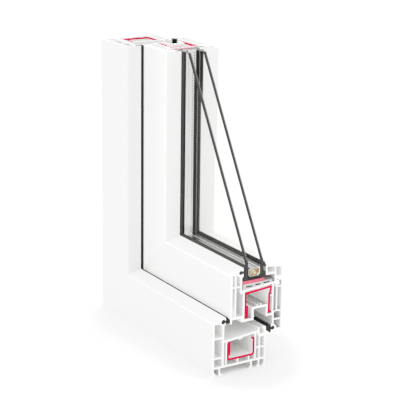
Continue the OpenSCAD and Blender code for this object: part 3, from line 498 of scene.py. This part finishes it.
def drying_grains(name, stands_for, place, length, grain_end):
    """A packed core, with two layers of separate grains over its end, a little short of the sawn end."""
    dice = random.Random(7)
    near, far = bar_near + bar_wall, bar_far - bar_wall
    foot, top = bar_foot + bar_wall, bar_top - bar_wall
    slope = inner_chamfer - bar_wall
    section = [(near + slope, foot), (far - slope, foot), (far, foot + slope),
               (far, top), (near, top), (near, foot + slope)]
    mesh = bmesh.new()
    mitred = [mesh.verts.new(place(rise, depth, rise)) for depth, rise in section]
    ended = [mesh.verts.new(place(length - grain_end, depth, rise)) for depth, rise in section]
    for k in range(6):
        mesh.faces.new([mitred[k], mitred[(k + 1) % 6], ended[(k + 1) % 6], ended[k]])
    mesh.faces.new(mitred)
    mesh.faces.new(ended)
    clear = slope + 0.3 * grain_size
    for layer in range(2):
        rise, row = foot + 0.45 * grain_size, layer
        while rise < top - 0.4 * grain_size:
            depth = near + grain_size * (0.5 + 0.5 * (row % 2))
            while depth < far - 0.4 * grain_size:
                if depth - near + rise - foot > clear and far - depth + rise - foot > clear:
                    size = grain_size * dice.uniform(*grain_spread)
                    along = length - grain_end + grain_size * (0.35 + 0.8 * layer)
                    along += dice.uniform(-0.25, 0.25) * grain_size
                    spot = place(min(along, length - size * 0.8), depth + dice.uniform(-0.1, 0.1) * grain_size,
                                 rise + dice.uniform(-0.1, 0.1) * grain_size)
                    made = bmesh.ops.create_icosphere(mesh, subdivisions=2, radius=size,
                                                      matrix=Matrix.Translation(spot))
                    for vert in made["verts"]:
                        vert.co = spot + (vert.co - spot) * dice.uniform(0.95, 1.05)
                        for face in vert.link_faces:
                            face.smooth = True
                depth += grain_size
            rise += grain_size * row_step
            row += 1
    piece_of(name, mesh, [tan_grains], stands_for)


tan_grains, grain_shader = finish("desiccant_grains", Roughness=0.85)
grain_place = node(tan_grains, "TexCoord")["Object"]
grain_patch = node(tan_grains, "TexVoronoi", {"Vector": grain_place, "Scale": 420.0})["Color"]
grain_tone = node(tan_grains, "SeparateColor", {"Color": grain_patch})["Red"]
put(tan_grains, grain_shader.inputs["Base Color"], between(tan_grains, grain_tone, grain_dark, grain_light))
relief(tan_grains, grain_shader, grain(tan_grains, grain_place, (4500, 4500, 4500)), 0.00008)
drying_grains("drying_grains_rail", "desiccant_rail", on_rail, sill_length, grain_end=0.0018)
drying_grains("drying_grains_stile", "desiccant_stile", on_stile, jamb_length, grain_end=0.0070)

# Panes: two sheets of float glass, 4 mm thick, cut on a slope so that the layers show. The faces are clear, and
# the ground edges are dark with a painted pale streak where the light runs inside the sheet, and painted shade
# where they sink between the gaskets.
arris = 0.0004
pane_foot, slope_start, slope_stop = 0.1036, 0.1300, 0.1245
pane_shape = [(pane_foot, pane_foot), (sill_length, pane_foot), (sill_length, slope_stop),
              (slope_start, jamb_length), (pane_foot, jamb_length)]
glass_dull, glass_bright, mirror_share = (0.986, 0.986, 0.980), (0.993, 0.993, 0.988), 0.015
# Stops and greys of the painted pale streak across an edge, then the painted shade tone low on the edges and how
# far up it fades.
painted_streak_tones = ((0.0, 0.05), (0.52, 0.05), (0.66, 0.19), (0.88, 0.2), (1.0, 0.10))
sunk_shade_tone, sunk_shade_reach = (0.045, 0.046, 0.044), 0.003


def drawn_in(shape, inset):
    """The same convex outline with each side moved inwards."""
    moved = []
    for k in range(len(shape)):
        before, here, after = (Vector(shape[i]) for i in (k - 1, k, (k + 1) % len(shape)))
        in_side, out_side = (here - before).normalized(), (after - here).normalized()
        in_normal, out_normal = Vector((-in_side.y, in_side.x)), Vector((-out_side.y, out_side.x))
        half = (in_normal + out_normal).normalized()
        moved.append(here + half * inset / half.dot(in_normal))
    return moved


def clear_glass(name, bend):
    """Glass that bends what is seen through it, mirrors a little and lets the light pass straight."""
    material, shader = finish(name, IOR=1.5, Metallic=1.0, Roughness=0.02)
    smear = grain(material, node(material, "TexCoord")["Object"], (22, 22, 22))
    tint = between(material, smear, glass_dull, glass_bright)
    put(material, shader.inputs["Base Color"], tint)
    bent = node(material, "BsdfRefraction", {"Color": tint, "Roughness": 0.0, "IOR": bend})["BSDF"]
    straight = node(material, "BsdfTransparent", {"Color": tint})["BSDF"]
    ray = node(material, "LightPath")
    unseen = sums(material, "MAXIMUM", ray["Is Shadow Ray"], ray["Is Diffuse Ray"])
    seen = node(material, "MixShader", {0: mirror_share, 1: bent, 2: shader.outputs["BSDF"]})["Shader"]
    shown = node(material, "MixShader", {0: unseen, 1: seen, 2: straight})["Shader"]
    put(material, material.node_tree.nodes["Material Output"].inputs["Surface"], shown)
    return material


def cut_glass(name, near, far):
    """A ground edge with a painted pale streak of light, and painted shade where it sinks between the gaskets."""
    material, shader = finish(name, IOR=1.52, Roughness=0.3)
    place = node(material, "TexCoord")["Object"]
    axes = node(material, "SeparateXYZ", {"Vector": place})
    streak = node(material, "ValToRGB", {"Fac": spread(material, axes["Y"], 0.0, 1.0, near, far)})["Color"]
    ramp = streak.node.color_ramp
    while len(ramp.elements) < len(painted_streak_tones):
        ramp.elements.new(0.5)
    for element, (spot, tone) in zip(ramp.elements, painted_streak_tones):
        element.position = spot
        element.color = (tone * 0.97, tone, tone * 0.96, 1.0)
    ground = grain(material, place, (700, 700, 700), 4.0)
    # Up to where the slope meets the cut end the edge is painted near black, fading into patchy darkening higher
    # up: painted shade between the gaskets.
    sunk = spread(material, axes["Z"], 1.0, sums(material, "MULTIPLY", ground, 0.4),
                  slope_stop, slope_stop + sunk_shade_reach)
    put(material, shader.inputs["Base Color"], between(material, sunk, streak, sunk_shade_tone))
    relief(material, shader, ground, 0.00004)
    return material


def pane(name, stands_for, bend):
    """One sheet, with its faces drawn in by the ground arrises."""
    low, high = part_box(stands_for)
    near, far = low[1], high[1]
    mesh = bmesh.new()
    rows = [(near, drawn_in(pane_shape, arris)), (near + arris, pane_shape),
            (far - arris, pane_shape), (far, drawn_in(pane_shape, arris))]
    loops = [[mesh.verts.new((corner_x + x, y, z)) for x, z in shape] for y, shape in rows]
    for one, two in zip(loops, loops[1:]):
        for k in range(len(one)):
            j = (k + 1) % len(one)
            mesh.faces.new([one[k], one[j], two[j], two[k]]).material_index = 1
    mesh.faces.new(loops[0])
    mesh.faces.new(loops[-1])
    faces, edges = clear_glass("clear_glass_" + name, bend), cut_glass("cut_glass_" + name, near, far)
    piece_of(name, mesh, [faces, edges], stands_for)


pane("outer_sheet", "outer_pane", bend=1.5)
pane("inner_sheet", "inner_pane", bend=1.05)

# Glazing beads: slim hollow strips of the same white plastic, snapped into the sash on the room side.
# Two black rubber lips run along each bead's front and press on the inner pane, with a gap between.
pane_back, bead_front = 0.0645, 0.0682
low_lip = ((bead_front, 0.1064), (0.0657, 0.1068), (pane_back, 0.1082), (pane_back, 0.1108),
           (0.0650, 0.1112), (bead_front, 0.1098))
high_lip = ((bead_front, 0.1156), (0.0666, 0.1163), (pane_back, 0.1183), (pane_back, 0.1223),
            (0.0662, 0.1222), (bead_front, 0.1176))
# The stile's bead has its own copy, with lips far lighter than the stile's and the rail's tones in its chambers:
# less painted shade on its side faces.
bead_plastic = white_plastic("white_plastic_bead", upright, sash_face, sash_chambers_top, skin=0.915, shaded_lip=0.905,
                             chamber_shade=0.82, steel_chamber_shade=0.70, chamber_floor_shade=0.34, valley=gasket_line)
dress(rail_plastic, "bead_rail")
dress(bead_plastic, "bead_stile")
rubber_strip("bead_lips_rail", "bead_gasket_rail", on_rail, sill_length, (low_lip, high_lip), rail_rubber)
rubber_strip("bead_lips_stile", "bead_gasket_stile", on_stile, jamb_length, (low_lip, high_lip), stile_rubber)

# Floor, light and camera: a pale seamless floor under a white sky that is dimmer beyond the cut end, one
# very soft lamp almost overhead, and the camera where the photograph was taken from.
floor_reaches, floor_corners = (0.6, 2.0, 6.0, 20.0), 48
sky_bright, sky_dim, dim_edge = (1.0, 1.0, 1.0), (0.66, 0.66, 0.66), (0.2, 0.9)
lamp_turn, lamp_rise, lamp_width, lamp_power = 140, 86, 70, 0.7
tone_curve = ((0.03, 0.024), (0.06, 0.052), (0.12, 0.13), (0.25, 0.35), (0.45, 0.60), (0.65, 0.78),
              (0.80, 0.88), (0.90, 0.925), (0.955, 0.945), (0.985, 0.995))
floor_mesh = bmesh.new()
floor_rings = []
for reach in floor_reaches:
    turns = [2 * math.pi * n / floor_corners for n in range(floor_corners)]
    floor_rings.append([floor_mesh.verts.new((reach * math.cos(t), reach * math.sin(t), 0.0)) for t in turns])
floor_mesh.faces.new(floor_rings[0])
for one, two in zip(floor_rings, floor_rings[1:]):
    for k in range(floor_corners):
        j = (k + 1) % floor_corners
        floor_mesh.faces.new([one[k], two[k], two[j], one[j]])
floor_data = bpy.data.meshes.new("floor")
floor_mesh.to_mesh(floor_data)
floor_mesh.free()
floor = bpy.data.objects.new("floor", floor_data)
bpy.context.scene.collection.objects.link(floor)
paper, paper_shader = finish("floor_paper", Roughness=0.9, Specular_IOR_Level=0.1)
paper_cloud = grain(paper, node(paper, "TexCoord")["Object"], (3, 3, 3))
put(paper, paper_shader.inputs["Base Color"], between(paper, paper_cloud, grey(0.905), grey(0.915)))
floor_data.materials.append(paper)

sky = bpy.data.worlds.new("white_sky")
sky.use_nodes = True
sky_side = node(sky, "SeparateXYZ", {"Vector": node(sky, "TexCoord")["Generated"]})["X"]
sky_light = sky.node_tree.nodes["Background"].inputs
put(sky, sky_light["Color"], between(sky, spread(sky, sky_side, 0.0, 1.0, *dim_edge), sky_bright, sky_dim))
sky_light["Strength"].default_value = 1.0
bpy.context.scene.world = sky

lamp_data = bpy.data.lights.new("high_lamp", "SUN")
lamp_data.angle = math.radians(lamp_width)
lamp_data.energy = lamp_power
lamp = bpy.data.objects.new("high_lamp", lamp_data)
lamp.rotation_euler = (math.radians(90 - lamp_rise), 0.0, math.radians(lamp_turn))
bpy.context.scene.collection.objects.link(lamp)

camera_data = bpy.data.cameras.new("camera")
camera_data.sensor_width = 36.0
camera_data.lens = 126.62
camera = bpy.data.objects.new("camera", camera_data)
camera_place = Matrix.Translation((1.324668, -0.811676, 0.615260))
camera_right = Vector((0.526131, 0.850315, 0.012262))
camera_up = Vector((-0.243964, 0.137108, 0.960043))
camera_back = Vector((0.814658, -0.508100, 0.279583))
camera.matrix_world = camera_place @ Matrix((camera_right, camera_up, camera_back)).transposed().to_4x4()
bpy.context.scene.collection.objects.link(camera)
bpy.context.scene.camera = camera
film = bpy.context.scene.view_settings
film.view_transform = "Standard"
film.use_curve_mapping = True
for light, shown in tone_curve:
    film.curve_mapping.curves[3].points.new(light, shown)
film.curve_mapping.update()
bpy.context.scene.cycles.diffuse_bounces = 12
bpy.context.scene.cycles.max_bounces = 16
